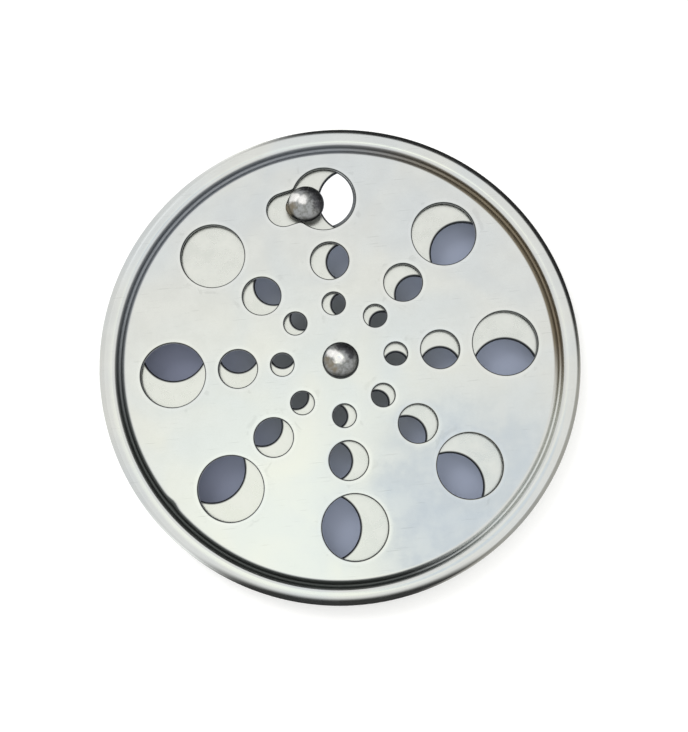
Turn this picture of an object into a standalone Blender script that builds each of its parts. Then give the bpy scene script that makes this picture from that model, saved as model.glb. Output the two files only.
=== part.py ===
"""Round drain grate with a turning shutter.

A dished steel cover has three rings of holes.  Under it lies a shutter disc with the same holes,
held by a domed rivet at the centre.  A knob on the shutter stands up through a keyhole slot in the
cover, so that the shutter can be turned by hand between fully open and fully closed.

The origin is on the pivot axis, at the level of the skirt's lower edge.  +Z points up, out of the
face that is walked on, and +Y points to the keyhole.  Lengths are in metres and angles in degrees.
"""
import math

import bmesh
import bpy

MM = 0.001

# Cover: a pressed sheet with a flat face, a groove, a raised rim and a skirt
COVER_DIAMETER = 127.0 * MM
COVER_HEIGHT = 8.0 * MM
SHEET_THICKNESS = 1.0 * MM
RIM_RISE = 0.7 * MM
RIM_TOP_WIDTH = 1.3 * MM
GROOVE_DEPTH = 1.1 * MM

# Inside radii of the sheet's four bends, from the face outwards
FACE_EDGE_BEND = 0.2 * MM
GROOVE_BEND = 0.5 * MM
RIM_INNER_BEND = 0.5 * MM
RIM_OUTER_BEND = 1.2 * MM

# Hole pattern, the same in the cover and in the shutter
SPOKES = 8
FIRST_SPOKE = 90.0
OUTER_HOLE_RADIUS = 8.5 * MM
MIDDLE_HOLE_RADIUS = 5.05 * MM
INNER_HOLE_RADIUS = 3.0 * MM
BLIND_SPOKE = 1

# Webs of sheet between the pivot's head and the rings of holes, from the centre outwards, as
# shares of the room that the holes leave.  The rest is the web outside the outer ring.
WEB_SHARES = (0.3888, 0.1971, 0.1971)

# Keyhole slot: an arc about the pivot, a little inside the outer ring, that opens into its first hole
SLOT_INSET = 0.6 * MM
SLOT_HALF_WIDTH = 4.5 * MM

# Shutter, and how far it stands turned back from fully open
SHUTTER_THICKNESS = 0.8 * MM
SHUTTER_EDGE_CLEARANCE = 1.5 * MM
REST_TURN = 9.4

# Pivot rivet
PIVOT_HEAD_RADIUS = 4.8 * MM
PIVOT_HEAD_HEIGHT = 3.0 * MM
PIVOT_SHANK_RADIUS = 2.5 * MM
PIVOT_TAIL_RADIUS = 4.0 * MM
PIVOT_TAIL_HEIGHT = 1.4 * MM

# Washers on the pivot, under the shutter
WAVE_WASHER_RADIUS = 6.5 * MM
WAVE_WASHER_THICKNESS = 0.4 * MM
WAVE_HEIGHT = 0.5 * MM
WAVES = 3
BACKING_WASHER_RADIUS = 6.0 * MM
BACKING_WASHER_THICKNESS = 0.8 * MM

# Knob: a shouldered rivet fixed in the shutter, a web away from the shutter's nearest hole
KNOB_HEAD_RADIUS = 4.9 * MM
KNOB_HEAD_HEIGHT = 3.0 * MM
KNOB_NECK_RADIUS = 3.2 * MM
KNOB_SHANK_RADIUS = 2.0 * MM
KNOB_TAIL_RADIUS = 3.3 * MM
KNOB_TAIL_HEIGHT = 1.1 * MM
KNOB_WEB = 1.3 * MM

# Gaps between pieces, and the length by which every cutter runs past what it cuts
SEAT_GAP = 0.3 * MM
SHUTTER_PLAY = 0.6 * MM
BORE_CLEARANCE = 0.3 * MM
STOP_GAP = 0.3 * MM
CUT_OVERRUN = 1.0 * MM
WELD_DISTANCE = 0.0001 * MM
CREASE_ANGLE = 35.0

# Facets: how many sides a round shape has
RIM_SIDES = 80
OUTER_HOLE_SIDES = 32
MIDDLE_HOLE_SIDES = 24
INNER_HOLE_SIDES = 16
BORE_SIDES = 20
RIVET_SIDES = 32
WASHER_SIDES = 36
DOME_STEPS = 6
BEND_STEPS = (2, 4, 3, 5)
SLOT_STEPS = 8

# Heights, worked out from the cover downwards
COVER_RADIUS = COVER_DIAMETER / 2
FACE_TOP = COVER_HEIGHT - RIM_RISE
FACE_UNDER = FACE_TOP - SHEET_THICKNESS
SHUTTER_TOP = FACE_UNDER - SHUTTER_PLAY
SHUTTER_UNDER = SHUTTER_TOP - SHUTTER_THICKNESS
WAVE_TOP = SHUTTER_UNDER - SEAT_GAP
WAVE_UNDER = WAVE_TOP - WAVE_HEIGHT - WAVE_WASHER_THICKNESS
BACKING_TOP = WAVE_UNDER - SEAT_GAP
BACKING_UNDER = BACKING_TOP - BACKING_WASHER_THICKNESS
HEAD_UNDER = FACE_TOP + SEAT_GAP


def touching(centre, reach, height):
    """The centre, at a height, of an arc that touches another on the pivot's side.

    reach is the distance between the centres, the sum of both radii.  The angle is how far the new
    centre stands above the old one, seen from it.
    """
    rise = height - centre[1]
    radius = centre[0] - math.sqrt(reach ** 2 - rise ** 2)
    return (radius, height), math.degrees(math.asin(rise / reach))


def bends():
    """Centres, radii on the top skin and angles of the cover's four bends, from the face outwards.

    The two rim bends are placed by the cover's radius and height and by the width of the rim's top.
    The groove's arc touches the inner rim bend at the groove's depth, and the face's edge bend
    touches the groove's arc in turn, so the section runs smoothly from one arc to the next.
    """
    edge_radius = FACE_EDGE_BEND + SHEET_THICKNESS
    inner_radius = RIM_INNER_BEND + SHEET_THICKNESS
    outer_radius = RIM_OUTER_BEND + SHEET_THICKNESS
    outer_centre = (COVER_RADIUS - outer_radius, COVER_HEIGHT - outer_radius)
    inner_centre = (outer_centre[0] - RIM_TOP_WIDTH, COVER_HEIGHT - inner_radius)
    groove_height = FACE_TOP - GROOVE_DEPTH + GROOVE_BEND
    groove_centre, inner_angle = touching(inner_centre, inner_radius + GROOVE_BEND, groove_height)
    edge_height = FACE_TOP - edge_radius
    edge_centre, edge_angle = touching(groove_centre, edge_radius + GROOVE_BEND, edge_height)
    return ((edge_centre, edge_radius, 90.0, -edge_angle),
            (groove_centre, -GROOVE_BEND, 180.0 - edge_angle, 360.0 - inner_angle),
            (inner_centre, inner_radius, 180.0 - inner_angle, 90.0),
            (outer_centre, outer_radius, 90.0, 0.0))


def ring_radii():
    """Pitch radii of the three rings of holes, from the inner one outwards."""
    holes = (INNER_HOLE_RADIUS, MIDDLE_HOLE_RADIUS, OUTER_HOLE_RADIUS)
    room = FACE_RADIUS - PIVOT_HEAD_RADIUS - 2 * sum(holes)
    radii = []
    edge = PIVOT_HEAD_RADIUS
    for hole, share in zip(holes, WEB_SHARES):
        radii.append(edge + share * room + hole)
        edge = radii[-1] + hole
    return radii


# Radii and angles that follow from the section and from the sizes above
(FACE_RADIUS, _), _, _, _ = bends()[0]
INNER_PITCH_RADIUS, MIDDLE_PITCH_RADIUS, OUTER_PITCH_RADIUS = ring_radii()
SLOT_PITCH_RADIUS = OUTER_PITCH_RADIUS - SLOT_INSET
PIVOT_BORE_RADIUS = PIVOT_SHANK_RADIUS + BORE_CLEARANCE
KNOB_BORE_RADIUS = KNOB_SHANK_RADIUS + BORE_CLEARANCE
SPOKE_ANGLE = 360.0 / SPOKES
KNOB_REACH = OUTER_HOLE_RADIUS + KNOB_WEB + KNOB_BORE_RADIUS
KNOB_OPEN_ANGLE = math.degrees(KNOB_REACH / SLOT_PITCH_RADIUS)
STOP_REACH = SLOT_HALF_WIDTH - KNOB_NECK_RADIUS - STOP_GAP
SLOT_END_ANGLE = KNOB_OPEN_ANGLE - math.degrees(STOP_REACH / SLOT_PITCH_RADIUS)


def on_circle(radius, angle):
    """The point at an angle, in degrees from +X, on a circle about the pivot axis."""
    turn = math.radians(angle)
    return radius * math.cos(turn), radius * math.sin(turn)


def arc(centre, radius, start, end, steps):
    """Points along an arc in the (radius, height) plane, angles in degrees."""
    points = []
    for step in range(steps + 1):
        turn = math.radians(start + (end - start) * step / steps)
        points.append((centre[0] + radius * math.cos(turn), centre[1] + radius * math.sin(turn)))
    return points


def sheet_path(depth):
    """The cover's section from the pivot bore to the skirt's edge, a depth below the top skin.

    A hollow bend has a negative radius, which the depth makes larger and turns to the other side.
    """
    path = [(PIVOT_BORE_RADIUS, FACE_TOP - depth)]
    for (centre, radius, start, end), steps in zip(bends(), BEND_STEPS):
        path += arc(centre, abs(radius - depth), start, end, steps)
    path.append((COVER_RADIUS - depth, 0.0))
    return path


def turned(name, profile, sides, closed):
    """A mesh made by spinning a (radius, height) profile about the pivot axis.

    The first corner lies half a side off +X, so that no long edge runs through a spoke's holes.
    """
    form = bmesh.new()
    corners = []
    for radius, height in profile:
        corners.append(form.verts.new((*on_circle(radius, 360.0 / sides / 2), height)))
    ends = zip(corners, corners[1:] + corners[:1]) if closed else zip(corners, corners[1:])
    edges = [form.edges.new(pair) for pair in ends]
    bmesh.ops.spin(form, geom=corners + edges, cent=(0.0, 0.0, 0.0), axis=(0.0, 0.0, 1.0),
                   angle=2 * math.pi, steps=sides, use_merge=True)
    bmesh.ops.remove_doubles(form, verts=form.verts, dist=WELD_DISTANCE)
    bmesh.ops.recalc_face_normals(form, faces=form.faces)
    return finished_mesh(name, form)


def finished_mesh(name, form):
    """Turns a bmesh into a mesh that is shaded smooth apart from its creases."""
    mesh = bpy.data.meshes.new(name)
    form.to_mesh(mesh)
    form.free()
    mesh.shade_smooth()
    mesh.set_sharp_from_angle(angle=math.radians(CREASE_ANGLE))
    return mesh


def add_object(name, mesh, parent=None, material=None):
    """Links a mesh into the scene as a named object."""
    item = bpy.data.objects.new(name, mesh)
    bpy.context.scene.collection.objects.link(item)
    item.parent = parent
    if material:
        mesh.materials.append(material)
    return item


def prism(form, outline, low, high):
    """Adds an upright prism to a bmesh: a plan outline, anticlockwise, between two heights."""
    foot = [form.verts.new((x, y, low)) for x, y in outline]
    top = [form.verts.new((x, y, high)) for x, y in outline]
    form.faces.new(list(reversed(foot)))
    form.faces.new(top)
    for here in range(len(outline)):
        there = (here + 1) % len(outline)
        form.faces.new((foot[here], foot[there], top[there], top[here]))


def circle_outline(centre, radius, sides):
    """A regular polygon whose corners lie on a circle, anticlockwise."""
    outline = []
    for side in range(sides):
        x, y = on_circle(radius, 360.0 * side / sides)
        outline.append((centre[0] + x, centre[1] + y))
    return outline


def slot_outline():
    """The keyhole slot in plan: two arcs about the pivot, closed by a half circle at the end."""
    start = FIRST_SPOKE
    end = FIRST_SPOKE + SLOT_END_ANGLE
    outline = []
    for step in range(SLOT_STEPS + 1):
        outline.append(on_circle(SLOT_PITCH_RADIUS + SLOT_HALF_WIDTH, start + (end - start) * step / SLOT_STEPS))
    end_x, end_y = on_circle(SLOT_PITCH_RADIUS, end)
    for step in range(1, SLOT_STEPS):
        x, y = on_circle(SLOT_HALF_WIDTH, end + 180.0 * step / SLOT_STEPS)
        outline.append((end_x + x, end_y + y))
    for step in range(SLOT_STEPS, -1, -1):
        outline.append(on_circle(SLOT_PITCH_RADIUS - SLOT_HALF_WIDTH, start + (end - start) * step / SLOT_STEPS))
    return outline


def knob_place():
    """The knob's middle in plan while the shutter is fully open."""
    return on_circle(SLOT_PITCH_RADIUS, FIRST_SPOKE + KNOB_OPEN_ANGLE)


def ring_holes(left_out=()):
    """Outlines of the three rings of holes; spokes in left_out have no outer hole."""
    rings = ((OUTER_PITCH_RADIUS, OUTER_HOLE_RADIUS, OUTER_HOLE_SIDES, left_out),
             (MIDDLE_PITCH_RADIUS, MIDDLE_HOLE_RADIUS, MIDDLE_HOLE_SIDES, ()),
             (INNER_PITCH_RADIUS, INNER_HOLE_RADIUS, INNER_HOLE_SIDES, ()))
    outlines = []
    for pitch_radius, hole_radius, sides, skipped in rings:
        for spoke in range(SPOKES):
            if spoke not in skipped:
                centre = on_circle(pitch_radius, FIRST_SPOKE + SPOKE_ANGLE * spoke)
                outlines.append(circle_outline(centre, hole_radius, sides))
    return outlines


def cut(item, name, outlines, low, high):
    """Cuts upright holes through an object with one hidden cutter."""
    form = bmesh.new()
    for outline in outlines:
        prism(form, outline, low - CUT_OVERRUN, high + CUT_OVERRUN)
    cutter = add_object(name, finished_mesh(name, form), item.parent)
    cutter.hide_render = True
    cutter.display_type = "WIRE"
    boolean = item.modifiers.new(name, "BOOLEAN")
    boolean.operation = "DIFFERENCE"
    boolean.solver = "EXACT"
    boolean.object = cutter


def dome(head_radius, head_height, base):
    """A rivet head's section from its top on the axis down to its rim."""
    points = []
    for step in range(DOME_STEPS + 1):
        turn = math.radians(90.0 * (1 - step / DOME_STEPS))
        points.append((head_radius * math.cos(turn), base + head_height * math.sin(turn)))
    points[0] = (0.0, points[0][1])
    return points


def steel(name, color, roughness):
    """A bare steel finish."""
    finish = bpy.data.materials.new(name)
    finish.use_nodes = True
    shader = finish.node_tree.nodes["Principled BSDF"]
    shader.inputs["Base Color"].default_value = color
    shader.inputs["Metallic"].default_value = 1.0
    shader.inputs["Roughness"].default_value = roughness
    return finish


def cover_plate(material):
    """The dished cover with its rings of holes and the keyhole slot."""
    profile = sheet_path(0.0) + list(reversed(sheet_path(SHEET_THICKNESS)))
    cover = add_object("cover_plate", turned("cover_plate", profile, RIM_SIDES, True), None, material)
    cut(cover, "cover_holes_cutter", ring_holes(), FACE_UNDER, FACE_TOP)
    cut(cover, "slot_cutter", [slot_outline()], FACE_UNDER, FACE_TOP)


def shutter_disc(pivot, material):
    """The disc that closes the holes, without an outer hole on the blind spoke."""
    radius = FACE_RADIUS - SHUTTER_EDGE_CLEARANCE
    profile = [(PIVOT_BORE_RADIUS, SHUTTER_TOP), (radius, SHUTTER_TOP),
               (radius, SHUTTER_UNDER), (PIVOT_BORE_RADIUS, SHUTTER_UNDER)]
    disc = add_object("shutter_disc", turned("shutter_disc", profile, RIM_SIDES, True), pivot, material)
    knob_bore = circle_outline(knob_place(), KNOB_BORE_RADIUS, BORE_SIDES)
    cut(disc, "shutter_holes_cutter", ring_holes((BLIND_SPOKE,)) + [knob_bore], SHUTTER_UNDER, SHUTTER_TOP)


def pivot_rivet(material):
    """The domed rivet that the shutter turns on, with its set end under the washers."""
    tail_top = BACKING_UNDER - SEAT_GAP
    tail_under = tail_top - PIVOT_TAIL_HEIGHT
    profile = dome(PIVOT_HEAD_RADIUS, PIVOT_HEAD_HEIGHT, HEAD_UNDER)
    profile += [(PIVOT_SHANK_RADIUS, HEAD_UNDER), (PIVOT_SHANK_RADIUS, tail_top), (PIVOT_TAIL_RADIUS, tail_top)]
    profile += [(PIVOT_SHANK_RADIUS, tail_under), (0.0, tail_under)]
    add_object("pivot_rivet", turned("pivot_rivet", profile, RIVET_SIDES, False), None, material)


def wave_washer(material):
    """The wavy spring washer that holds the shutter up by friction."""
    form = bmesh.new()
    section = ((PIVOT_BORE_RADIUS, 0.0), (WAVE_WASHER_RADIUS, 0.0),
               (WAVE_WASHER_RADIUS, WAVE_WASHER_THICKNESS), (PIVOT_BORE_RADIUS, WAVE_WASHER_THICKNESS))
    rings = []
    for side in range(WASHER_SIDES):
        angle = 360.0 * side / WASHER_SIDES
        lift = WAVE_UNDER + WAVE_HEIGHT * (1 + math.cos(math.radians(WAVES * angle))) / 2
        rings.append([form.verts.new((*on_circle(radius, angle), lift + height)) for radius, height in section])
    for side in range(WASHER_SIDES):
        here = rings[side]
        there = rings[(side + 1) % WASHER_SIDES]
        for corner in range(len(section)):
            following = (corner + 1) % len(section)
            form.faces.new((here[corner], there[corner], there[following], here[following]))
    bmesh.ops.recalc_face_normals(form, faces=form.faces)
    add_object("wave_washer", finished_mesh("wave_washer", form), None, material)


def backing_washer(material):
    """The flat washer that the rivet's set end bears on."""
    profile = [(PIVOT_BORE_RADIUS, BACKING_TOP), (BACKING_WASHER_RADIUS, BACKING_TOP),
               (BACKING_WASHER_RADIUS, BACKING_UNDER), (PIVOT_BORE_RADIUS, BACKING_UNDER)]
    add_object("backing_washer", turned("backing_washer", profile, WASHER_SIDES, True), None, material)


def knob(pivot, material):
    """The shouldered rivet that a finger pushes along the slot."""
    shoulder = SHUTTER_TOP + SEAT_GAP
    tail_top = SHUTTER_UNDER - SEAT_GAP
    tail_under = tail_top - KNOB_TAIL_HEIGHT
    profile = dome(KNOB_HEAD_RADIUS, KNOB_HEAD_HEIGHT, HEAD_UNDER)
    profile += [(KNOB_NECK_RADIUS, HEAD_UNDER), (KNOB_NECK_RADIUS, shoulder), (KNOB_SHANK_RADIUS, shoulder)]
    profile += [(KNOB_SHANK_RADIUS, tail_top), (KNOB_TAIL_RADIUS, tail_top)]
    profile += [(KNOB_SHANK_RADIUS, tail_under), (0.0, tail_under)]
    item = add_object("knob", turned("knob", profile, RIVET_SIDES, False), pivot, material)
    item.location = (*knob_place(), 0.0)


def build():
    """Clears the scene and makes the grate, with the shutter turned back from fully open."""
    for item in list(bpy.data.objects):
        bpy.data.objects.remove(item, do_unlink=True)
    sheet_steel = steel("sheet_steel", (0.70, 0.72, 0.71, 1.0), 0.28)
    shutter_steel = steel("shutter_steel", (0.68, 0.70, 0.69, 1.0), 0.32)
    rivet_steel = steel("rivet_steel", (0.45, 0.45, 0.46, 1.0), 0.35)
    cover_plate(sheet_steel)
    pivot_rivet(rivet_steel)
    wave_washer(rivet_steel)
    backing_washer(rivet_steel)
    pivot = add_object("shutter_pivot", None)
    pivot.rotation_euler = (0.0, 0.0, -math.radians(REST_TURN))
    shutter_disc(pivot, shutter_steel)
    knob(pivot, rivet_steel)
    closed_turn = SPOKE_ANGLE / 2 - REST_TURN
    print(f"shutter_turn range: {-closed_turn:.2f} to {REST_TURN:.2f} degrees")


build()
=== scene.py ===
# %% [markdown]
# # A round drain grate with a turning shutter
#
# The real grate is a pressed stainless steel cover with three rings of punched holes.  A second
# perforated disc is riveted under it, and a knob in a keyhole slot turns that disc, so that the
# holes open and close.  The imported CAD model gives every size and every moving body.  This script
# puts finer surfaces and real finishes on it, and changes none of its dimensions.

import math

import bmesh
import bpy
import numpy as np
from mathutils import Matrix, Vector
from mathutils.geometry import delaunay_2d_cdt


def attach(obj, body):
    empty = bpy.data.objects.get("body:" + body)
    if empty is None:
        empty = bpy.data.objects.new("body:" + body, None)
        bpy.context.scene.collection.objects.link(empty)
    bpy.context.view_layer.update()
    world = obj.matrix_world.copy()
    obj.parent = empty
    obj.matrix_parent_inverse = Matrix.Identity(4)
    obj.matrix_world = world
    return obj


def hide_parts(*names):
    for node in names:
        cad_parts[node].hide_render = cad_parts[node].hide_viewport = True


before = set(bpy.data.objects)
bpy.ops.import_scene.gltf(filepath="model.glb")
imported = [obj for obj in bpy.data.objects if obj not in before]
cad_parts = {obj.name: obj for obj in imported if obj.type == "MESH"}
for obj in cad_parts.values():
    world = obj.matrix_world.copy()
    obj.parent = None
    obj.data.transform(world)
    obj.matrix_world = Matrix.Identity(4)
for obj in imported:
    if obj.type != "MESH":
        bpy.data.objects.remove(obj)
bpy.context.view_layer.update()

# %% [markdown]
# ## Sizes
#
# The lengths below are millimetres, as on a drawing, and match the CAD model.  Heights are taken
# above the skirt's lower edge, and angles in degrees, anticlockwise from +X, seen from above.

# %% Sizes of the two sheets
MM = 0.001
COVER_RADIUS = 63.45
FACE_RADIUS = 56.42
FACE_TOP = 7.3
COVER_THICKNESS = 1.0
SHUTTER_RADIUS = 54.92
SHUTTER_TOP = 5.7
SHUTTER_THICKNESS = 0.8
print(f"cover {2 * COVER_RADIUS:.1f} mm across, shutter {2 * SHUTTER_RADIUS:.1f} mm across")

# %% Sizes and places of the holes
SPOKES = 8
KEYHOLE_SPOKE = 0
BLIND_SPOKE = 1
KEYHOLE_AZIMUTH = 90.0
# Each ring: pitch radius, hole radius and the points round one hole
OUTER_RING = (43.9, 8.5, 96)
MIDDLE_RING = (26.7, 5.05, 72)
INNER_RING = (15.0, 3.0, 48)
PIVOT_BORE = 2.8
KNOB_BORE = 2.3
BORE_POINTS = 32
# The slot runs anticlockwise from the keyhole's round part, and the knob stands in it at rest
SLOT_PITCH = 43.3
SLOT_HALF_WIDTH = 4.5
SLOT_TURN = 14.69
REST_TURN = -9.4
KNOB_AZIMUTH = KEYHOLE_AZIMUTH + 16.01 + REST_TURN
print(f"{3 * SPOKES - 1} round holes and a keyhole, the knob at {KNOB_AZIMUTH:.2f} degrees")

# %% [markdown]
# ## Outlines
#
# Everything on this object is round, so the outlines are circles about a point.  Only the keyhole
# isn't: there the slot, a band along an arc, runs into a round hole.  Both are written as a signed
# distance, less than zero inside, and the two distances are blended with a smooth minimum.  That
# rounds the sharp corners where slot and hole meet, as a real punch does.

# %% Points on circles
def smooth_step(value):
    """3 v^2 - 2 v^3 for v held between 0 and 1."""
    held = np.clip(value, 0.0, 1.0)
    return held ** 2 * (3 - 2 * held)


def on_circle(radius, degrees):
    """Plan points at angles on a circle about the pivot: (radius cos a, radius sin a)."""
    turn = np.radians(degrees)
    return np.stack((radius * np.cos(turn), radius * np.sin(turn)), axis=-1)


def circle(centre, radius, count):
    """A closed anticlockwise outline of evenly spaced points on a circle."""
    return np.asarray(centre) + on_circle(radius, np.arange(count) * 360.0 / count)


def round_holes(turn, left_out):
    """(centre, radius, points) of the rings' holes, less one outer hole, and of the pivot's bore.

    The spokes are counted anticlockwise from the keyhole's, and all are turned about the pivot.
    """
    rings = (OUTER_RING, MIDDLE_RING, INNER_RING)
    places = [(ring, spoke) for ring in rings for spoke in range(SPOKES)]
    places.remove((OUTER_RING, left_out))
    holes = [(on_circle(pitch, KEYHOLE_AZIMUTH + 360.0 / SPOKES * spoke + turn), radius, count)
             for (pitch, radius, count), spoke in places]
    return [*holes, ((0.0, 0.0), PIVOT_BORE, BORE_POINTS)]


# %% The keyhole's signed distance
CORNER_BLEND = 0.5


def keyhole_distance(plan):
    """Distance from plan points to the keyhole's edge, below zero inside.

    It is the smaller of the distance to the slot's middle arc, less half the slot's width, and that
    to the hole's centre, less its radius, and where they differ by less than the blend, it is less
    by (blend - difference)^2 / (4 blend).
    """
    x, y = plan[..., 0], plan[..., 1]
    along = np.clip(np.degrees(np.arctan2(-x, y)), 0.0, SLOT_TURN)
    nearest = on_circle(SLOT_PITCH, KEYHOLE_AZIMUTH + along)
    slot = np.linalg.norm(plan - nearest, axis=-1) - SLOT_HALF_WIDTH
    hole = np.linalg.norm(plan - on_circle(OUTER_RING[0], KEYHOLE_AZIMUTH), axis=-1) - OUTER_RING[1]
    overlap = np.maximum(CORNER_BLEND - np.abs(slot - hole), 0.0)
    return np.minimum(slot, hole) - overlap ** 2 / (4.0 * CORNER_BLEND)


# %% The keyhole's outline
# Every ray from this point crosses the keyhole's edge once, nearer than the reach
INSIDE_KEYHOLE = np.array((-4.0, 43.4))
KEYHOLE_REACH = 25.0
KEYHOLE_POINTS = 160
RAYS_PER_POINT = 8
HALVINGS = 40


def keyhole_outline():
    """The keyhole's edge: halving finds where the distance is 0 on each ray, and even points are taken."""
    rays = on_circle(1.0, np.linspace(0.0, 360.0, RAYS_PER_POINT * KEYHOLE_POINTS, endpoint=False))
    near, far = np.zeros(len(rays)), np.full(len(rays), KEYHOLE_REACH)
    for _ in range(HALVINGS):
        half = (near + far) / 2
        inside_it = keyhole_distance(INSIDE_KEYHOLE + rays * half[:, None]) < 0
        near, far = np.where(inside_it, half, near), np.where(inside_it, far, half)
    points = INSIDE_KEYHOLE + rays * near[:, None]
    closed = np.concatenate((points, points[:1]))
    steps = np.linalg.norm(np.diff(closed, axis=0), axis=1)
    length = np.concatenate(([0.0], np.cumsum(steps)))
    even = np.arange(KEYHOLE_POINTS) * length[-1] / KEYHOLE_POINTS
    return np.stack([np.interp(even, length, closed[:, axis]) for axis in (0, 1)], axis=1)


keyhole = keyhole_outline()
print("keyhole is", np.ptp(keyhole, axis=0).round(2), "mm across")

# %% [markdown]
# ## One way to make a perforated sheet
#
# A pressed sheet could be cut with Booleans, but that leaves long thin faces on which a reflection
# breaks.  So a profile is carried along every outline, and makes the lip, the wall and the burr of
# a hole, or the cover's rim.  A triangulation through evenly spread points fills the flat between
# them.  The punch draws the sheet down a little round each hole, and a pressed face is never quite
# flat, so both skins are lifted by the same small amounts: that bends the reflections.

# %% Profiles carried along outlines
def outward(outline):
    """Unit normals of a closed anticlockwise outline: the chord of its neighbours, turned a quarter."""
    chord = np.roll(outline, -1, axis=0) - np.roll(outline, 1, axis=0)
    normal = np.stack((chord[:, 1], -chord[:, 0]), axis=1)
    return normal / np.linalg.norm(normal, axis=1, keepdims=True)


def at_heights(plan, height):
    """Rows of plan points, each row at its height."""
    level = np.broadcast_to(np.reshape(height, (-1, 1, 1)), (*plan.shape[:2], 1))
    return np.concatenate((plan, level), axis=2)


def carried(outline, profile):
    """Point (i, j) is outline point j, moved along its normal by offset i, at the profile's height i."""
    offset, height = np.asarray(profile, float).T
    return at_heights(outline[None] + offset[:, None, None] * outward(outline)[None], height)


def grid_faces(grid, loop_rows=False):
    """Quads of a grid of points whose columns close on themselves, and whose rows may."""
    rows, columns = grid.shape[:2]
    row, column = np.indices((rows if loop_rows else rows - 1, columns))
    below, beside = (row + 1) % rows, (column + 1) % columns
    here, there = row * columns, below * columns
    corners = (here + column, here + beside, there + beside, there + column)
    return np.stack(corners, axis=-1).reshape(-1, 4)


def arc(centre, radii, start, end, steps):
    """Points on an ellipse: (centre + across cos a, centre + up sin a) for evenly spaced angles a."""
    turn = np.radians(np.linspace(start, end, steps + 1))
    return np.stack((centre[0] + radii[0] * np.cos(turn), centre[1] + radii[1] * np.sin(turn)), axis=1)


# %% Which points lie in a hole
def is_inside(points, outline):
    """Points from which a ray towards +X crosses the closed outline an odd number of times."""
    here, there = outline, np.roll(outline, -1, axis=0)
    level = points[:, 1:2]
    spans = (here[:, 1] > level) != (there[:, 1] > level)
    rise = np.where(here[:, 1] == there[:, 1], 1.0, there[:, 1] - here[:, 1])
    crossing = here[:, 0] + (level - here[:, 1]) * (there[:, 0] - here[:, 0]) / rise
    return (spans & (points[:, :1] < crossing)).sum(axis=1) % 2 == 1


# %% The flat of a sheet between its outlines
FLAT_SPACING = 2.0
LIP_RINGS = (0.45, 1.0, 1.9)
# A ring point stays if every hole is further off than this share of the ring's own step
CLEAR_SHARE = 0.9
EDGE_ROOM = 0.4
# Points on a circle for each spacing in its radius
CIRCLE_POINTS = 6
SNAP_DISTANCE = 0.000001


def flat_between(edge, holes, edge_radius, distance):
    """Plan points and triangles of a sheet inside a round edge and outside its holes.

    Rings of points follow each hole, and circles of points fill the rest.  Those that come too near
    to any hole are left out, and so are the triangles whose middle lies in a hole.
    """
    rings = [hole + step * outward(hole) for hole in holes for step in LIP_RINGS]
    steps = np.repeat(np.tile(LIP_RINGS, len(holes)), [len(ring) for ring in rings])
    rings = np.concatenate(rings)
    start = distance(np.concatenate(holes)).mean()
    rings = rings[distance(rings) > start + CLEAR_SHARE * steps]
    rings = rings[np.linalg.norm(rings, axis=1) < edge_radius - EDGE_ROOM]
    radii = np.arange(FLAT_SPACING, edge_radius - FLAT_SPACING / 2, FLAT_SPACING)
    circles = [circle((0, 0), radius, int(CIRCLE_POINTS * radius / FLAT_SPACING)) for radius in radii]
    spread = np.concatenate(circles)
    spread = spread[distance(spread) > start + LIP_RINGS[-1] + FLAT_SPACING / 2]
    loops = [edge, *holes]
    points = np.concatenate((*loops, rings, spread))
    firsts = np.cumsum([0] + [len(loop) for loop in loops])
    links = [np.arange(first, last) for first, last in zip(firsts[:-1], firsts[1:])]
    borders = np.concatenate([np.stack((link, np.roll(link, -1)), axis=1) for link in links])
    made = delaunay_2d_cdt(list(map(Vector, points.tolist())), borders.tolist(), [], 0, SNAP_DISTANCE)
    plan, triangles = np.array(made[0]), np.array(made[2])
    middles = plan[triangles].mean(axis=1)
    in_holes = np.any([is_inside(middles, hole) for hole in holes], axis=0)
    return plan, triangles[~in_holes]


# %% Putting arrays into a mesh
MERGE_DISTANCE = 0.000001
SHARP_ANGLE = 40.0


def new_object(name, data):
    """A new object of the scene, which shows some data."""
    made = bpy.data.objects.new(name, data)
    bpy.context.scene.collection.objects.link(made)
    return made


def keep(mesh, name, values):
    """Keeps a number for each point of a mesh, as an attribute that materials can read."""
    attribute = mesh.attributes.new(name, "FLOAT", "POINT")
    attribute.data.foreach_set("value", values.ravel().astype(np.float32))


def new_piece(name, parts, body, slot, nodes, marks=()):
    """Makes one closed, smooth mesh from (points in mm, faces) parts, and hangs it on a CAD body.

    marks holds (attribute name, function of the points in mm that gives a number for each).
    """
    blocks = [points.reshape(-1, 3) for points, _ in parts]
    firsts = np.cumsum([0] + [len(block) for block in blocks])
    faces = sum([(corners + first).tolist() for (_, corners), first in zip(parts, firsts)], [])
    mesh = bpy.data.meshes.new(name)
    mesh.from_pydata((np.concatenate(blocks) * MM).tolist(), [], faces)
    form = bmesh.new()
    form.from_mesh(mesh)
    bmesh.ops.remove_doubles(form, verts=form.verts, dist=MERGE_DISTANCE)
    bmesh.ops.recalc_face_normals(form, faces=form.faces)
    form.to_mesh(mesh)
    form.free()
    mesh.shade_smooth()
    mesh.set_sharp_from_angle(angle=math.radians(SHARP_ANGLE))
    places = np.empty(3 * len(mesh.vertices), np.float32)
    mesh.vertices.foreach_get("co", places)
    for mark, value_of in marks:
        keep(mesh, mark, value_of(places.reshape(-1, 3) / MM))
    piece = new_object(name, mesh)
    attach(piece, body)
    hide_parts(*nodes)
    print(f"{name}: {len(mesh.vertices)} points, {len(mesh.polygons)} faces, on the body {body}")
    return piece


# %% A sheet with holes
FLAT_MARGIN = 0.12


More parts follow.
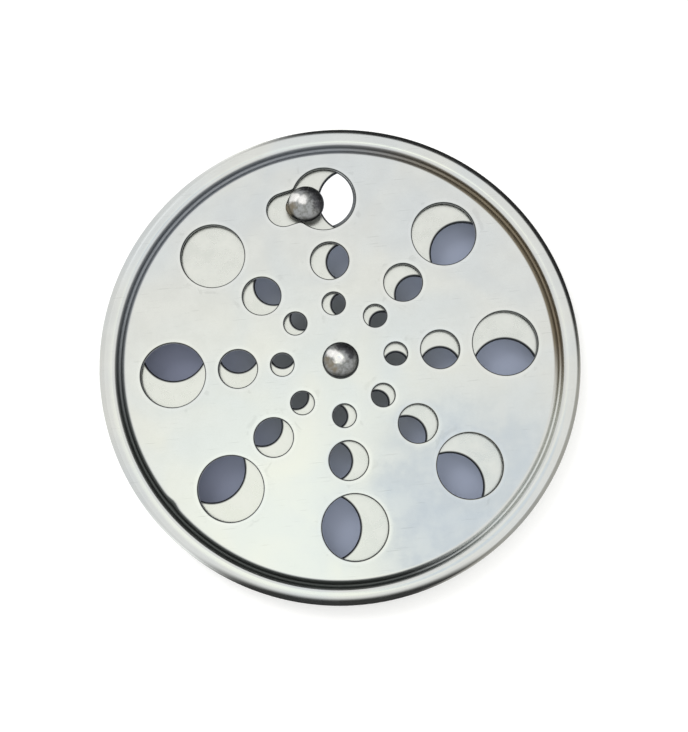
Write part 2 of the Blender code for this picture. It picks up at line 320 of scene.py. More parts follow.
def hole_profile(top, thickness, lip, drop, burr):
    """A punched hole's section from the top skin down: flat, rounded lip, wall, small burr, flat."""
    flat = lip + FLAT_MARGIN
    upper = arc((lip, top - drop), (lip, drop), 90.0, 180.0, steps=7)
    lower = arc((burr, top - thickness + burr), (burr, burr), 180.0, 270.0, steps=3)
    return np.concatenate(([(flat, top)], upper, lower, [(flat, top - thickness)]))


def perforated(name, outlines, section, edge_radius, rim, pressed, distance, marks=(), **where):
    """A sheet from its hole outlines, its hole section and its rim's section about the pivot.

    pressed is a function that moves the points of the finished sheet a little, as a press does.
    """
    edge = circle((0, 0), edge_radius, count=360)
    strips = [carried(outline, section) for outline in outlines] + [carried(edge, rim)]
    holes = [strip[0, :, :2] for strip in strips[:-1]]
    plan, triangles = flat_between(edge, holes, edge_radius, distance)
    parts = [(strip, grid_faces(strip)) for strip in strips]
    for level in (section[0][1], section[-1][1]):
        parts.append((np.column_stack((plan, np.full(len(plan), level))), triangles))
    parts = [(pressed(part), faces) for part, faces in parts]
    marks = [("edge_distance", lambda points: distance(points[:, :2])), *marks]
    return new_piece(name, parts, marks=marks, **where)


# %% [markdown]
# ## The cover
#
# The cover is pressed from bright annealed sheet, 1 mm thick.  Its face ends in a groove, a rounded
# rim and a skirt.  The section is drawn once, as arcs and straight runs along the top skin, and the
# under skin is the same line moved inwards by the sheet's thickness along its normals.  The outer
# bend is a little wider than it is high, because a pressed rim springs back when it leaves the die.

# %% The rim's section
FLAT_EDGE = FACE_RADIUS - 0.3
OUTER_BEND_START = 60.6
# Each bend of the top skin: its centre, its radii, its first and last angle and its steps
FACE_BEND = ((FACE_RADIUS, 6.1), (1.2, 1.2), 90.0, 20.7, 8)
GROOVE_BEND = ((58.01, 6.7), (0.5, 0.5), 200.7, 354.3, 10)
INNER_BEND = ((60.0, 6.5), (1.5, 1.5), 174.3, 90.0, 10)
OUTER_BEND = ((OUTER_BEND_START, 6.1), (COVER_RADIUS - OUTER_BEND_START, 1.9), 90.0, 0.0, 16)
FOOT_ROUND = 0.12
SKIRT_LEVELS = (4.0, 2.0, FOOT_ROUND)


def rim_section():
    """Top skin from the face's edge to the skirt's foot, then back along the under skin."""
    bends = [arc(*FACE_BEND), arc(*GROOVE_BEND)[1:], arc(*INNER_BEND)[1:], arc(*OUTER_BEND)]
    skirt = [(COVER_RADIUS, level) for level in SKIRT_LEVELS]
    top = np.concatenate(([(FLAT_EDGE, FACE_TOP)], *bends, skirt))
    run = np.gradient(top, axis=0)
    normal = np.stack((run[:, 1], -run[:, 0]), axis=1)
    normal /= np.linalg.norm(normal, axis=1, keepdims=True)
    under = (top + COVER_THICKNESS * normal)[::-1]
    under[-1] = (FLAT_EDGE, FACE_TOP - COVER_THICKNESS)
    foot = [(COVER_RADIUS - FOOT_ROUND, 0.0), (COVER_RADIUS - COVER_THICKNESS + FOOT_ROUND, 0.0)]
    return np.concatenate((top, foot, under)) - (FLAT_EDGE, 0.0)


print("the rim's section has", len(rim_section()), "points")

# %% How far the groove is off centre
# The die pressed the groove 0.4 mm towards the front, and a knock at the left pushed its wall in
GROOVE_MIDDLE = 57.85
OFF_CENTRE = np.array((0.07, -0.39))
# The move grows and fades over this width, outwards from the first radius and inwards from the last
MOVE_FROM = 52.6
MOVE_TO = 61.5
MOVE_WIDTH = 4.2
KNOCK_AZIMUTH = 215.7
KNOCK_DEPTH = 0.5
KNOCK_WIDTH = 1.7
KNOCK_TO = 58.3
KNOCK_FADE = 1.5


def groove_move(plan):
    """How far plan points move: (off centre - knock e^(-(arc / width)^2) outwards) times a share.

    The share rises from 0 on the face to 1 at the groove, and falls back to 0 on the rim.
    """
    radius = np.linalg.norm(plan, axis=-1, keepdims=True)
    out = plan / np.maximum(radius, 1.0)
    share = smooth_step((radius - MOVE_FROM) / MOVE_WIDTH) * smooth_step((MOVE_TO - radius) / MOVE_WIDTH)
    arc_away = FACE_RADIUS * np.linalg.norm(out - on_circle(1.0, KNOCK_AZIMUTH), axis=-1, keepdims=True)
    knock = KNOCK_DEPTH * np.exp(-(arc_away / KNOCK_WIDTH) ** 2)
    return share * (OFF_CENTRE - knock * smooth_step((KNOCK_TO - radius) / KNOCK_FADE) * out)


def groove_distance(points):
    """Distance of points from the groove's middle line, less than zero towards the pivot."""
    return np.linalg.norm(points[:, :2] - groove_move(points[:, :2]), axis=1) - GROOVE_MIDDLE


# %% How far the sheet is drawn down and bowed
DRAWN_DOWN = 0.035
DRAWN_WIDTH = 0.9
DRAWN_TO = FACE_RADIUS - 0.9
BOW = 0.018
BOW_TO = FACE_RADIUS - 1.0
BOW_FADE = 10.0


def cover_pressed(distance):
    """A function that moves the cover's points as the press did.

    They are drawn down by depth e^(-distance / width) round each hole, and bowed by
    bow (sin(x / 9 + 0.4) cos(y / 11 - 0.8) + 0.6 sin((x + y) / 6.5)), and the groove moves.
    """
    def pressed(points):
        plan, height = points[..., :2], points[..., 2:]
        x, y = plan[..., :1], plan[..., 1:]
        radius = np.hypot(x, y)
        drawn = DRAWN_DOWN * np.exp(-np.maximum(distance(plan), 0.0) / DRAWN_WIDTH)[..., None]
        waves = BOW * (np.sin(x / 9.0 + 0.4) * np.cos(y / 11.0 - 0.8) + 0.6 * np.sin((x + y) / 6.5))
        inner = smooth_step((BOW_TO - radius) / BOW_FADE)
        lifted = height + inner * waves - np.where(radius < DRAWN_TO, drawn, 0.0)
        return np.concatenate((plan + groove_move(plan), lifted), axis=-1)
    return pressed


def distance_to_holes(holes, keyhole=False):
    """A function that gives each plan point's distance to the nearest hole's edge."""
    centres = np.array([centre for centre, _, _ in holes])
    radii = np.array([radius for _, radius, _ in holes])

    def distance(plan):
        away = np.linalg.norm(plan[..., None, :] - centres, axis=-1) - radii
        nearest = away.min(axis=-1)
        return np.minimum(nearest, keyhole_distance(plan)) if keyhole else nearest
    return distance


# %% Make the cover
cover_holes = round_holes(turn=0.0, left_out=KEYHOLE_SPOKE)
cover_distance = distance_to_holes(cover_holes, keyhole=True)
cover_outlines = [circle(*hole) for hole in cover_holes] + [keyhole]
cover = perforated(
    "cover", cover_outlines, hole_profile(FACE_TOP, COVER_THICKNESS, lip=0.32, drop=0.3, burr=0.08),
    FLAT_EDGE, rim_section(), cover_pressed(cover_distance), cover_distance,
    marks=[("groove_distance", groove_distance)], body="grate", slot="cover_steel", nodes=["cover_plate"])

# %% [markdown]
# ## The shutter
#
# The shutter is a plain disc with the same pattern, less the one outer hole that it always keeps
# closed.  It is made in the same way, turned to where it stands in the photograph.  Its edge is
# only deburred.

# %% Make the shutter
SHUTTER_DRAWN = 0.02
SHUTTER_MARGIN = 0.6
SHUTTER_ROUND = 0.15
SHUTTER_UNDER = SHUTTER_TOP - SHUTTER_THICKNESS
ROUND_RADII = (SHUTTER_ROUND, SHUTTER_ROUND)
ROUND_CENTRE = SHUTTER_MARGIN - SHUTTER_ROUND
shutter_holes = round_holes(turn=REST_TURN, left_out=BLIND_SPOKE)
shutter_holes.append((on_circle(SLOT_PITCH, KNOB_AZIMUTH), KNOB_BORE, BORE_POINTS))
shutter_distance = distance_to_holes(shutter_holes)
shutter_rim = np.concatenate((
    [(0.0, SHUTTER_TOP)],
    arc((ROUND_CENTRE, SHUTTER_TOP - SHUTTER_ROUND), ROUND_RADII, 90.0, 0.0, steps=3),
    arc((ROUND_CENTRE, SHUTTER_UNDER + SHUTTER_ROUND), ROUND_RADII, 0.0, -90.0, steps=3),
    [(0.0, SHUTTER_UNDER)]))


def shutter_pressed(points):
    """Draws the shutter's skins down round each hole, by depth e^(-distance / width)."""
    drawn = SHUTTER_DRAWN * np.exp(-np.maximum(shutter_distance(points[..., :2]), 0.0) / DRAWN_WIDTH)
    return points - drawn[..., None] * np.array((0.0, 0.0, 1.0))


shutter = perforated(
    "shutter", [circle(*hole) for hole in shutter_holes],
    hole_profile(SHUTTER_TOP, SHUTTER_THICKNESS, lip=0.5, drop=0.35, burr=0.08),
    SHUTTER_RADIUS - SHUTTER_MARGIN, shutter_rim, shutter_pressed, shutter_distance,
    body="shutter", slot="shutter_steel", nodes=["shutter_disc"])

# %% [markdown]
# ## The two rivets
#
# Both rivets have the same kind of head, set cold with a few blows, so it is a dome with shallow
# flats and dents, and it doesn't sit quite over its shank.  The dome is a surface of revolution.
# Then every point of the head sinks by a sum of soft dents, and the head is moved by its offset.
# The blows left parts of each head brown and polished its left, which also carries a painted
# highlight.  Attributes keep these places, and a painted shade on the back and right of the head.

# %% Surfaces of revolution
HEAD_UNDER = 7.6
HEAD_HEIGHT = 3.0
HEAD_EDGE = 0.4
DOME_POWER = 0.9
DOME_POINTS = 29
# The head's offset fades out over this distance down the shank
NECK = 0.3


def turned(profile, count, centre=(0.0, 0.0)):
    """Point (i, j) stands at profile radius i and height i, at angle j of an even turn."""
    radius, height = np.asarray(profile, float).T
    plan = circle((0, 0), 1.0, count)[None] * radius[:, None, None]
    return at_heights(plan + np.asarray(centre), height)


def head_section(radius):
    """A dome on a short rounded edge: (R sin(a)^0.9, h cos(a)), then a quarter round underneath."""
    turn = np.radians(np.linspace(0.0, 90.0, DOME_POINTS))
    level = HEAD_UNDER + HEAD_EDGE
    rise = (HEAD_HEIGHT - HEAD_EDGE) * np.cos(turn)
    dome = np.stack((radius * np.sin(turn) ** DOME_POWER, level + rise), axis=1)
    dome[0, 0] = 0.0
    edge = arc((radius - HEAD_EDGE, level), (HEAD_EDGE, HEAD_EDGE), 0.0, -90.0, steps=5)
    return np.concatenate((dome, edge[1:]))


# %% Dents, an offset and a burr
DENTS = 34
DENT_SPREAD = 0.9
DENT_WIDTHS = (0.45, 1.1)
DENT_DEPTHS = (0.02, 0.1)
DENT_FADE = 0.5
BURR_AZIMUTH = 190.0
BURR_SPREAD = 24.0
BURR_TOP = 1.2
BURR_FADE = 0.9
FOOT_FADE = 0.02


def struck(grid, centre, radius, offset, seed, burr):
    """Shapes a head as the blows did.

    Points sink by a sum of depth e^(-(distance / width)^2) over seeded dents, move by the offset,
    and near the head's foot move outwards by burr e^(-(turn from the left / spread)^2).
    """
    draw = np.random.default_rng(seed)
    above = grid[..., 2] - HEAD_UNDER
    share = smooth_step(above / DENT_FADE)
    for _ in range(DENTS):
        away = radius * math.sqrt(draw.uniform(0.0, DENT_SPREAD))
        place = centre + on_circle(away, draw.uniform(0.0, 360.0))
        width, depth = draw.uniform(*DENT_WIDTHS), draw.uniform(*DENT_DEPTHS)
        distance = np.linalg.norm(grid[..., :2] - place, axis=-1)
        grid[..., 2] -= share * depth * np.exp(-(distance / width) ** 2)
    spoke = grid[..., :2] - centre
    turn = np.degrees(np.arctan2(spoke[..., 1], spoke[..., 0])) % 360.0 - BURR_AZIMUTH
    foot = smooth_step(above / FOOT_FADE + 0.5) * smooth_step((BURR_TOP - above) / BURR_FADE)
    grid[..., :2] += (foot * burr * np.exp(-(turn / BURR_SPREAD) ** 2) / radius)[..., None] * spoke
    grid[..., :2] += smooth_step(above / NECK + 1.0)[..., None] * np.asarray(offset)
    return grid


# %% Where a head is polished with a painted highlight, brown or in painted shade, and its foot
# The painted shadow round each head's foot
FOOT_START = 0.87
FOOT_WIDTH = 0.08
FOOT_SHIFT = np.array((0.0, 0.12))


def spots(centre, radius, places):
    """The largest of e^(-(distance / width)^2) over places (x, y, width) in shares of the radius."""
    places = np.array(places)

    def value_of(points):
        away = np.linalg.norm(points[:, None, :2] - centre - radius * places[:, :2], axis=-1)
        return np.exp(-(away / (radius * places[:, 2])).min(axis=1) ** 2)
    return value_of


def foot_shadow_of(centre, radius):
    """A painted shadow round the head's foot: 1 from 95% of its radius outwards, 0 within 87%, wider at
    the back.
    """
    def value_of(points):
        share = np.linalg.norm(points[:, :2] - centre + FOOT_SHIFT, axis=1) / radius
        return smooth_step((share - FOOT_START) / FOOT_WIDTH)
    return value_of


# %% How a rivet is made
def make_rivet(name, radius, stem, tail, centre, offset, seed, burr, kinds, **where):
    """Turns a rivet from the dome of its head, its stem and the bulge of its set end, and strikes it.

    kinds holds the places of polish with painted highlight, brown and painted shade, in shares of its
    radius.
    """
    section = np.concatenate((head_section(radius), stem, arc(*tail, 0.0, -90.0, steps=8)))
    section[-1, 0] = 0.0
    grid = struck(turned(section, count=96, centre=centre), centre, radius, offset, seed, burr)
    marks = [(kind, spots(centre + offset, radius, places)) for kind, places in kinds.items()]
    marks.append(("foot", foot_shadow_of(centre + offset, radius)))
    return new_piece(name, [(grid, grid_faces(grid))], slot="rivet_steel", marks=marks, **where)


# %% Make the pivot rivet
PIVOT_HEAD = 4.8
PIVOT_SHANK = 2.5
PIVOT_TAIL = 4.0
PIVOT_TAIL_TOP = 2.3
TAIL_BEVEL = 0.15
pivot_stem = [
    (PIVOT_SHANK, HEAD_UNDER), (PIVOT_SHANK, HEAD_UNDER - NECK), (PIVOT_SHANK, PIVOT_TAIL_TOP),
    (PIVOT_TAIL - TAIL_BEVEL, PIVOT_TAIL_TOP), (PIVOT_TAIL, PIVOT_TAIL_TOP - TAIL_BEVEL)]
# The pivot's painted highlight is to the upper left, its painted shade to the back and right
pivot = make_rivet(
    "pivot", PIVOT_HEAD, pivot_stem, tail=((0.0, 2.1), (PIVOT_TAIL, 1.2)), centre=np.zeros(2),
    offset=np.array((0.38, -0.45)), seed=5, burr=0.0, body="grate", nodes=["pivot_rivet"], kinds={
        "polish_and_highlight": [(-0.52, 0.43, 0.24), (-0.38, 0.34, 0.27), (-0.2, 0.2, 0.26), (-0.06, 0.06, 0.34)],
        "browned": [(-0.72, 0.05, 0.22), (-0.58, -0.28, 0.3), (-0.35, -0.52, 0.22)],
        "painted_shade": [(0.0, 0.72, 0.25), (0.3, 0.62, 0.32), (0.5, 0.42, 0.35), (0.6, 0.1, 0.22)]})

# %% Make the knob
# It is a shouldered rivet: its neck runs in the slot, and its shank is set in the shutter
KNOB_HEAD = 4.9
KNOB_NECK = 3.2
KNOB_SHOULDER = 6.0
SHOULDER_BEVEL = 0.1
KNOB_SHANK = 2.0
KNOB_TAIL = 3.3
KNOB_TAIL_TOP = 4.6
knob_stem = [
    (KNOB_NECK, HEAD_UNDER), (KNOB_NECK, HEAD_UNDER - NECK), (KNOB_NECK, KNOB_SHOULDER + SHOULDER_BEVEL),
    (KNOB_NECK - SHOULDER_BEVEL, KNOB_SHOULDER), (KNOB_SHANK, KNOB_SHOULDER), (KNOB_SHANK, KNOB_TAIL_TOP),
    (KNOB_TAIL - SHOULDER_BEVEL, KNOB_TAIL_TOP), (KNOB_TAIL, KNOB_TAIL_TOP - SHOULDER_BEVEL)]
# The knob's painted highlight is to the left, its painted shade to the right and back
knob = make_rivet(
    "turning_knob", KNOB_HEAD, knob_stem, tail=((0.0, 4.45), (KNOB_TAIL, 0.95)),
    centre=on_circle(SLOT_PITCH, KNOB_AZIMUTH), offset=np.array((0.1, -0.4)), seed=11, burr=0.7,
    body="shutter", nodes=["knob"], kinds={
        "polish_and_highlight": [(-0.8, 0.35, 0.34), (-0.5, 0.3, 0.3), (-0.15, 0.12, 0.3)],
        "browned": [(-0.8, -0.1, 0.35), (-0.95, -0.35, 0.3), (-1.0, -0.1, 0.3)],
        "painted_shade": [(0.75, -0.2, 0.4), (0.66, 0.2, 0.43), (0.44, 0.6, 0.36), (0.0, 0.8, 0.28)]})

# %% [markdown]
# ## The washers
#
# Under the shutter a wave washer presses it up against the cover, and a flat washer takes the
# rivet's set end.  Both are small closed rings with rounded corners.  The wave washer's section
# rises and falls three times in a turn.

# %% Make the washers
WASHER_BORE = 2.8
WAVE_RADIUS = 6.5
WAVE_UNDER = 3.7
WAVE_THICKNESS = 0.4
WAVE_HEIGHT = 0.5
WAVES = 3
BACKING_RADIUS = 6.0
BACKING_UNDER = 2.6
BACKING_TOP = 3.4


def ring_section(inner, outer, under, top, round_off):
    """A rectangle with rounded corners, as a closed line round the section."""
    corners = ((outer, top, 90.0), (outer, under, 0.0), (inner, under, -90.0), (inner, top, -180.0))
    line = []
    for radius, height, start in corners:
        centre = (radius - round_off if radius == outer else radius + round_off,
                  height - round_off if height == top else height + round_off)
        line.append(arc(centre, (round_off, round_off), start, start - 90.0, steps=3))
    return np.concatenate(line)


wave_section = ring_section(WASHER_BORE, WAVE_RADIUS, 0.0, WAVE_THICKNESS, round_off=0.1)
wave_grid = turned(wave_section, count=144)
around = np.arctan2(wave_grid[..., 1], wave_grid[..., 0])
wave_grid[..., 2] += WAVE_UNDER + WAVE_HEIGHT * (1 + np.cos(WAVES * around)) / 2
wave = new_piece("spring_washer", [(wave_grid, grid_faces(wave_grid, loop_rows=True))],
                 body="grate", slot="washer_steel", nodes=["wave_washer"])

backing_section = ring_section(WASHER_BORE, BACKING_RADIUS, BACKING_UNDER, BACKING_TOP, round_off=0.15)
backing_grid = turned(backing_section, count=96)
backing = new_piece("flat_washer", [(backing_grid, grid_faces(backing_grid, loop_rows=True))],
                    body="grate", slot="washer_steel", nodes=["backing_washer"])

# %% [markdown]
# ## Finishes
#
# All of it is stainless steel, a metal with a pale, nearly neutral colour.  How the pieces were made
# tells them apart: the cover is bright annealed sheet, the shutter duller mill sheet, the rivet
# heads are cold formed and scuffed, and the washers stamped.  Photographs could be wrapped round
# them, but a pattern with a real width in millimetres stays sharp near to and needs no file.  One
# function adds every node, and one turns screen colours into linear light.

# %% Helpers for materials
# Here a range always eases in and out, and a mix is always one of colours
USUAL = {"MapRange": {"interpolation_type": "SMOOTHSTEP"}, "Mix": {"data_type": "RGBA"}}


def linear(code):
    """A screen colour such as #c0c4c8 as linear light: ((v + 0.055) / 1.055)^2.4 above 0.04."""
    values = [int(code[i:i + 2], 16) / 255 for i in (1, 3, 5)]
    return (*[v / 12.92 if v <= 0.04045 else ((v + 0.055) / 1.055) ** 2.4 for v in values], 1.0)


def fill(node, inputs):
    """Fills inputs of a node, given by name or in the order in which the node shows them.

    Each takes the output of another node, a number, a vector or a screen colour.
    """
    if isinstance(inputs, dict):
        pairs = [(node.inputs[name], value) for name, value in inputs.items()]
    else:
        pairs = zip([socket for socket in node.inputs if socket.enabled], inputs)
    for socket, value in pairs:
        if isinstance(value, bpy.types.NodeSocket):
            node.id_data.links.new(value, socket)
        else:
            socket.default_value = linear(value) if isinstance(value, str) else value


def add(tree, kind, inputs=(), output=None, **settings):
    """Adds a node with its settings, fills its inputs, and gives back its named or its first output."""
    made = tree.nodes.new("ShaderNode" + kind)
    for name, value in {**USUAL.get(kind, {}), **settings}.items():
        setattr(made, name, value)
    fill(made, inputs)
    return made.outputs[output] if output else [socket for socket in made.outputs if socket.enabled][0]


def finish(name, pieces, metallic=1.0):
    """A node material on some pieces: its tree, its shader and the object coordinates."""
    material = bpy.data.materials.new(name)
    material.use_nodes = True
    for piece in pieces:
        piece.data.materials.clear()
        piece.data.materials.append(material)
    tree = material.node_tree
    shader = tree.nodes["Principled BSDF"]
    fill(shader, {"Metallic": metallic})
    print(f"{name}: on", *[piece.name for piece in pieces])
    return tree, shader, add(tree, "TexCoord", output="Object")


def per(length):
    """The scale of a pattern whose grains are so many millimetres wide."""
    return 1.0 / (length * MM)


# %% [markdown]
# ### Bright annealed sheet, for the cover
#
# A bright, faintly cloudy metal.  Wipe marks 24 mm wide change its tone, and smaller ones 7 mm wide
# make its tone and sheen uneven near to.  Fine scratches up to 7 mm long cross it two ways.  A punch
# leaves a dark sheared edge on each hole, rubs the lip beside it bright, and leaves a greyer wall.
# The dark band also holds painted shade, where the wall and the gap below it lie in shade.  That
# could be painted by hand, but the mesh keeps each point's distance to the nearest hole, and a
# material that reads it gives every hole the same edge.

# %% The cover's tone and sheen
tree, shader, place = finish("bright annealed stainless sheet", [cover])
clouds = add(tree, "TexNoise", {"Vector": place, "Scale": per(24.0), "Detail": 2.0, "Distortion": 0.6})
smears = add(tree, "TexNoise", {"Vector": place, "Scale": per(7.0), "Detail": 4.0, "Roughness": 0.6})
cloudy = add(tree, "MapRange", [clouds, 0.3, 0.7])
tone = add(tree, "Mix", [cloudy, "#d3d7d7", "#dadbd6"])
smeared = add(tree, "MapRange", [smears, 0.35, 0.65, 0.98, 1.015])
tone = add(tree, "VectorMath", [tone, smeared], operation="SCALE")
sheen = add(tree, "MapRange", [smears, 0.35, 0.65, 0.12, 0.19])

# %% The cover's scratches and rubbed places
# Scratches are drawn 0.3 mm wide, coarser than real ones, to show.  Near some holes the metal is
# rubbed dull, 1 to 3 mm from the edge.
SCRATCH_ANGLES = (31.0, 118.0)
for angle in SCRATCH_ANGLES:
    along = add(tree, "Mapping", {"Vector": place, "Rotation": (0.0, 0.0, math.radians(angle)),
                                  "Scale": (per(7.0), per(0.3), per(50.0))})
    streaks = add(tree, "TexNoise", {"Vector": along, "Scale": 1.0, "Detail": 0.0})
    scratched = add(tree, "MapRange", [streaks, 0.76, 0.86, 1.0, 0.9])
    tone = add(tree, "VectorMath", [tone, scratched], operation="SCALE")
edge = add(tree, "Attribute", output="Fac", attribute_name="edge_distance")
patches = add(tree, "TexNoise", {"Vector": place, "Scale": per(5.0), "Detail": 3.0, "Distortion": 1.0})
rubs = add(tree, "MapRange", [patches, 0.56, 0.68])
not_far = add(tree, "MapRange", [edge, 1.8, 3.2, 1.0, 0.0])
not_near = add(tree, "MapRange", [edge, 0.8, 1.6])
rubs = add(tree, "Math", [rubs, not_far], operation="MULTIPLY")
rubs = add(tree, "Math", [rubs, not_near], operation="MULTIPLY")
rubbed_dull = add(tree, "MapRange", [rubs, 0.0, 1.0, 1.0, 0.93])
tone = add(tree, "VectorMath", [tone, rubbed_dull], operation="SCALE")

# %% The cover's sheared edges and their painted shade
# The bright lip reaches 1.5 mm from each edge, the dark shear with painted shade 0.4 mm, and the wall
# is at the edge
lip = add(tree, "MapRange", [edge, 0.4, 1.5, 1.06, 1.0])
tone = add(tree, "VectorMath", [tone, lip], operation="SCALE")
# Dark sheared metal, and painted shade of the hole's wall and of the gap under it
shear_and_shade = add(tree, "MapRange", [edge, 0.12, 0.4, 1.0, 0.0])
tone = add(tree, "Mix", [shear_and_shade, tone, "#242627"])
wall = add(tree, "MapRange", [edge, 0.0, 0.06, 1.0, 0.0])
tone = add(tree, "Mix", [wall, tone, "#9a9d9d"])
sheen = add(tree, "Math", [shear_and_shade, 0.5, sheen], operation="MULTIPLY_ADD")

# %% [markdown]
# ### Grime and painted shade, in the cover's groove
#
# Grime and painted shade darken the groove, 2.5 mm wide: grey to the left, nearly black to the front
# left, brown to the right at the back, and none at the front right but for a thin line in the middle.
# Fine lines from the die run along it.  The mesh keeps each point's distance from the groove's
# middle line, and the way that a point lies from the pivot tells which stretch it is in.

# %% Which way a point lies
flat = add(tree, "VectorMath", [place, (1.0, 1.0, 0.0)], operation="MULTIPLY")
heading = add(tree, "VectorMath", [flat], operation="NORMALIZE")


def towards(azimuth, outer, inner):
    """A share from the heading: 0 past the outer angle from an azimuth and 1 within the inner one."""
    aim = (*on_circle(1.0, azimuth), 0.0)
    facing = add(tree, "VectorMath", [heading, aim], operation="DOT_PRODUCT")
    far, near = math.cos(math.radians(outer)), math.cos(math.radians(inner))
    return add(tree, "MapRange", [facing, far, near])


# %% How much grime and painted shade there is
across = add(tree, "Attribute", output="Fac", attribute_name="groove_distance")
shifted = add(tree, "Math", [towards(5.0, 65.0, 30.0), 0.35, across], operation="MULTIPLY_ADD")
off_middle = add(tree, "Math", [shifted], operation="ABSOLUTE")
in_groove = add(tree, "MapRange", [off_middle, 0.9, 1.45, 0.95, 0.0])
# Lighter at the front right: no grime or painted shade there
off_front_right = add(tree, "Math", [towards(321.0, 40.0, 14.0), -0.95, 1.0], operation="MULTIPLY_ADD")
in_groove = add(tree, "Math", [in_groove, off_front_right], operation="MULTIPLY")
# A thin line of it stays in the middle all round
middle_line = add(tree, "Math", [towards(324.0, 30.0, 8.0), -0.75, 1.0], operation="MULTIPLY_ADD")
deepest = add(tree, "MapRange", [off_middle, 0.15, 0.5, 0.85, 0.0])
middle_line = add(tree, "Math", [middle_line, deepest], operation="MULTIPLY")
in_groove = add(tree, "Math", [in_groove, middle_line], operation="MAXIMUM")

# %% The colour of the grime and painted shade
lines = add(tree, "TexNoise", {"W": across, "Scale": 3.2, "Detail": 2.0}, noise_dimensions="1D")
beside = add(tree, "MapRange", [off_middle, 0.0, 0.6])
darker_middle = add(tree, "Mix", [beside, "#3a3e3c", "#5b605d"])
# Grime with painted shade: nearly black to the front left, grey elsewhere, brown at the back right
grime_and_shade = add(tree, "Mix", [towards(236.0, 85.0, 28.0), "#92969b", darker_middle])
grime_and_shade = add(tree, "Mix", [towards(15.0, 75.0, 20.0), grime_and_shade, "#827763"])
lined = add(tree, "MapRange", [lines, 0.35, 0.65, 0.82, 1.14])
grime_and_shade = add(tree, "VectorMath", [grime_and_shade, lined], operation="SCALE")
tone = add(tree, "Mix", [in_groove, tone, grime_and_shade])
sheen = add(tree, "Math", [in_groove, 0.42, sheen], operation="MULTIPLY_ADD")
fill(shader, {"Base Color": tone, "Roughness": sheen})

# %% The cover's grain
# Rolling grain 0.5 mm wide runs one way.  It is drawn coarser than the real grain, to show.
GRAIN_ANGLE = 28.0
along = add(tree, "Mapping", {"Vector": place, "Rotation": (0.0, 0.0, math.radians(GRAIN_ANGLE)),
                              "Scale": (per(9.0), per(0.5), per(50.0))})
grain = add(tree, "TexNoise", {"Vector": along, "Scale": 1.0, "Detail": 2.0})
relief = add(tree, "Bump", {"Height": grain, "Strength": 0.1, "Distance": 0.00001})
fill(shader, {"Normal": relief})

# %% [markdown]
# ### Mill finish sheet, for the shutter
#
# Duller and a little warmer than the cover, with soft mill clouds 6 mm wide and the same dark
# sheared edges, which also hold painted shade.  Its tone and its sheen come from one noise, because
# on mill sheet the duller places are also the paler ones.

# %% The shutter's finish
tree, shader, place = finish("mill finish stainless sheet", [shutter])
clouds = add(tree, "TexNoise", {"Vector": place, "Scale": per(6.0), "Detail": 4.0, "Roughness": 0.6})
cloudy = add(tree, "MapRange", [clouds, 0.3, 0.7])
tone = add(tree, "Mix", [cloudy, "#d5d7d1", "#dfe0da"])
sheen = add(tree, "MapRange", [clouds, 0.3, 0.7, 0.24, 0.32])
edge = add(tree, "Attribute", output="Fac", attribute_name="edge_distance")
# Dark sheared edge, with painted shade along each hole
shear_and_shade = add(tree, "MapRange", [edge, 0.28, 0.72, 1.0, 0.0])
tone = add(tree, "Mix", [shear_and_shade, tone, "#36393e"])
sheen = add(tree, "Math", [shear_and_shade, 0.4, sheen], operation="MULTIPLY_ADD")
fill(shader, {"Base Color": tone, "Roughness": sheen})

# %% [markdown]
# ### Cold formed stainless, for the rivet heads
#
# A mid grey with blotches 1.1 mm wide, and a painted shadow round the foot of each head.  The meshes
# keep where the heads are polished with a painted highlight, brown or in painted shade.  The borders
# of such places are uneven, so the blotches are added to the kept shares before these are cut off.

# %% The rivets' finish
tree, shader, place = finish("cold formed stainless", [pivot, knob])
blotches = add(tree, "TexNoise", {"Vector": place, "Scale": per(1.1), "Detail": 5.0, "Roughness": 0.65})
# The blotches are scaled by this number, and its half is their middle
UNEVENNESS = 1.3


def uneven(name, low, high, most):
    """The share of a kept place, with a border that follows the blotches, up to the most it may be."""
    share = add(tree, "Attribute", output="Fac", attribute_name=name)
    rough = add(tree, "Math", [blotches, UNEVENNESS, share], operation="MULTIPLY_ADD")
    return add(tree, "MapRange", [rough, low + UNEVENNESS / 2, high + UNEVENNESS / 2, 0.0, most])


blotched = add(tree, "MapRange", [blotches, 0.4, 0.62])
tone = add(tree, "Mix", [blotched, "#9fa1a1", "#7e7f7c"])
# A nearly black painted shadow round each head's foot
foot = add(tree, "Attribute", output="Fac", attribute_name="foot")
tone = add(tree, "Mix", [foot, tone, "#26282a"])
tone = add(tree, "Mix", [uneven("browned", 0.1, 1.0, 0.8), tone, "#867d6b"])
# Painted shade on the back and right of each head
tone = add(tree, "Mix", [uneven("painted_shade", 0.1, 0.9, 0.9), tone, "#454549"])
# Painted highlight where the head is also polished smoother
polish_and_highlight = uneven("polish_and_highlight", 0.25, 0.8, 1.0)
tone = add(tree, "Mix", [polish_and_highlight, tone, "#f0efec"])
sheen = add(tree, "MapRange", [polish_and_highlight, 0.0, 1.0, 0.4, 0.14])
relief = add(tree, "Bump", {"Height": blotches, "Strength": 0.6, "Distance": 0.00006})
fill(shader, {"Base Color": tone, "Roughness": sheen, "Normal": relief})

# %% [markdown]
# ### Stamped stainless, for the washers
#
# A plain grey with the specks, 1.5 mm wide, that tumbling leaves on small stampings.  The specks
# also change its sheen and its relief, so one noise feeds all three.

